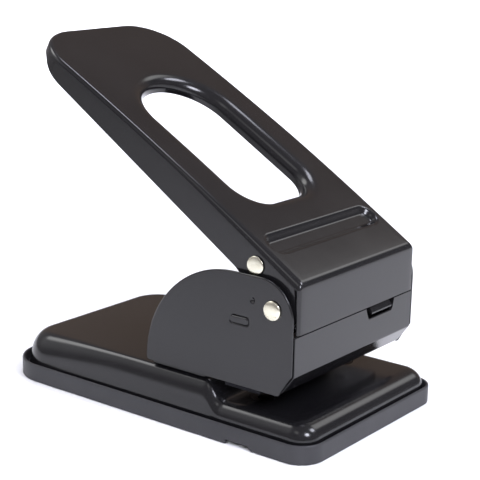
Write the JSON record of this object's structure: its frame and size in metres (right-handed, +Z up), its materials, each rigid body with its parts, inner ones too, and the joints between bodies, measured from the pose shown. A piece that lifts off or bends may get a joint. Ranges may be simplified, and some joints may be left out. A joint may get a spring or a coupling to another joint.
{
  "type": "two-hole lever paper punch",
  "caption": "Heavy-duty desk paper punch: long pressed-steel lever with a hand hole, D-shaped side cheeks, stepped steel base on a shallow plastic chip tray.",
  "frame": {"origin": "centre of the footprint, on the ground", "axes": "+Z up; +X to the right seen from the paper side; -Y is the side the paper goes in from, and the lever rises towards +Y"},
  "size_m": [0.138, 0.23, 0.2113],
  "materials": {
    "black_enamel": "gloss black enamel on pressed steel",
    "tray_plastic": "fine-grained dark plastic",
    "nickel": "bright nickel plate, slightly warm",
    "tool_steel": "ground hardened steel",
    "zinc_steel": "dull zinc plate",
    "bronze": "sintered bronze",
    "rubber": "matt black rubber"
  },
  "bodies": {
    "frame": {"chip_tray": "tray_plastic", "base_plate": "black_enamel", "die_ring_left": "tool_steel", "die_ring_right": "tool_steel", "foot_bracket_left": "black_enamel", "foot_bracket_right": "black_enamel", "rear_stay": "black_enamel", "cheek_left": "black_enamel", "cheek_right": "black_enamel", "front_plate": "black_enamel", "guide_block": "tool_steel", "fulcrum_axle": "nickel", "fulcrum_spacer": "zinc_steel", "return_spring_left": "zinc_steel", "return_spring_right": "zinc_steel", "foot_pad_1": "rubber", "bracket_screw_1": "zinc_steel", "bracket_nut_1": "zinc_steel", "foot_pad_2": "rubber", "bracket_screw_2": "zinc_steel", "bracket_nut_2": "zinc_steel", "foot_pad_3": "rubber", "bracket_screw_3": "zinc_steel", "bracket_nut_3": "zinc_steel", "foot_pad_4": "rubber", "bracket_screw_4": "zinc_steel", "bracket_nut_4": "zinc_steel"},
    "lever": {"handle_shell": "black_enamel", "handle_bushing_left": "bronze", "handle_bushing_right": "bronze", "press_shaft": "nickel", "press_sleeve_left": "tool_steel", "press_sleeve_right": "tool_steel", "stop_tongue": "black_enamel"},
    "press": {"press_bar": "zinc_steel", "punch_left": "tool_steel", "punch_right": "tool_steel", "punch_screw_left": "zinc_steel", "punch_screw_right": "zinc_steel"}
  },
  "joints": [
    {"name": "lever_hinge", "type": "hinge", "parent": "frame", "child": "lever", "pos_m": [0, -0.085, 0.0806], "axis": [-1, 0, 0], "range_deg": [0, 40]},
    {"name": "press_slide", "type": "slide", "parent": "frame", "child": "press", "axis": [0, 0, -1], "range_m": [0, 0.01431], "stiffness_N_per_m": 5000, "springref_m": -0.01, "deforming": ["return_spring_left", "return_spring_right"]}
  ],
  "couplings": [
    {"joint": "press_slide", "follows": "lever_hinge", "m_per_rad": 0.020488}
  ]
}
